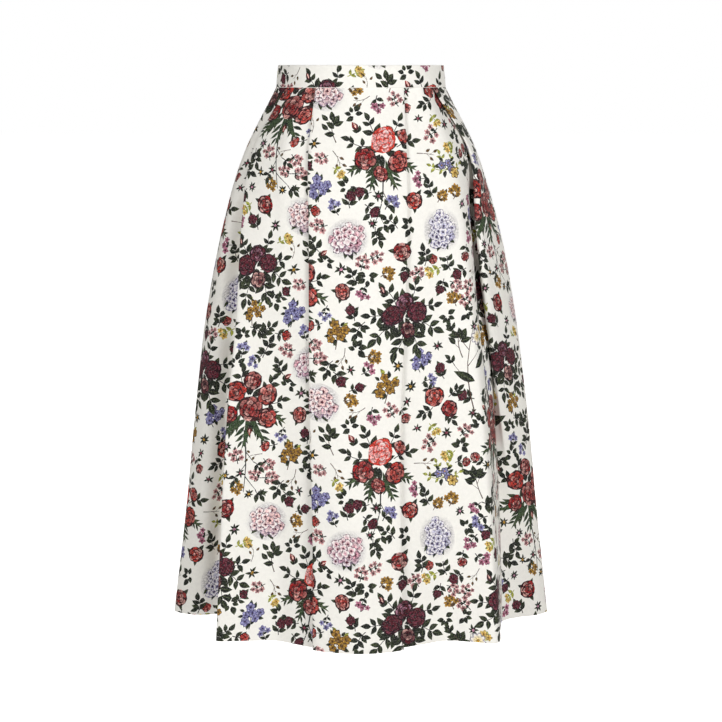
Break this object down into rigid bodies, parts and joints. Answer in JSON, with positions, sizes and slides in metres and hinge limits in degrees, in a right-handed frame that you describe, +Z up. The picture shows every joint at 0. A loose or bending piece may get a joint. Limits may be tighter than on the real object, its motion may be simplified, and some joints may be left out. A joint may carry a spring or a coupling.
{
  "type": "a-line skirt",
  "caption": "Flared midi skirt in printed woven cloth, hollow as worn: waistband, pleated panels with deep side folds, and a concealed back zip with a hinged pull tab.",
  "frame": {"origin": "centre of the waist, half-way up the waistband", "axes": "+Z up the wearer's body; the wearer faces -Y, so +X is at the wearer's left; the zip is at +Y"},
  "size_m": [0.5524, 0.3706, 0.8082],
  "materials": {
    "printed_cloth": "matte printed woven cloth, ivory ground with scattered flowers",
    "zip_tape": "woven ivory tape",
    "zip_coil": "moulded nylon coil",
    "zip_metal": "satin nickel"
  },
  "bodies": {
    "skirt": {"waistband": "printed_cloth", "front_centre": "printed_cloth", "front_side_r": "printed_cloth", "front_side_l": "printed_cloth", "side_r": "printed_cloth", "side_l": "printed_cloth", "back_r": "printed_cloth", "back_l": "printed_cloth", "zip_tape_r": "zip_tape", "zip_tape_l": "zip_tape", "zip_coil": "zip_coil", "zip_slider": "zip_metal"},
    "pull": {"zip_pull": "zip_metal"}
  },
  "joints": [
    {"name": "pull_swing", "type": "hinge", "parent": "skirt", "child": "pull", "pos_m": [0, 0.09451, 0.0088], "axis": [1, 0, 0], "range_deg": [0, 160]}
  ]
}
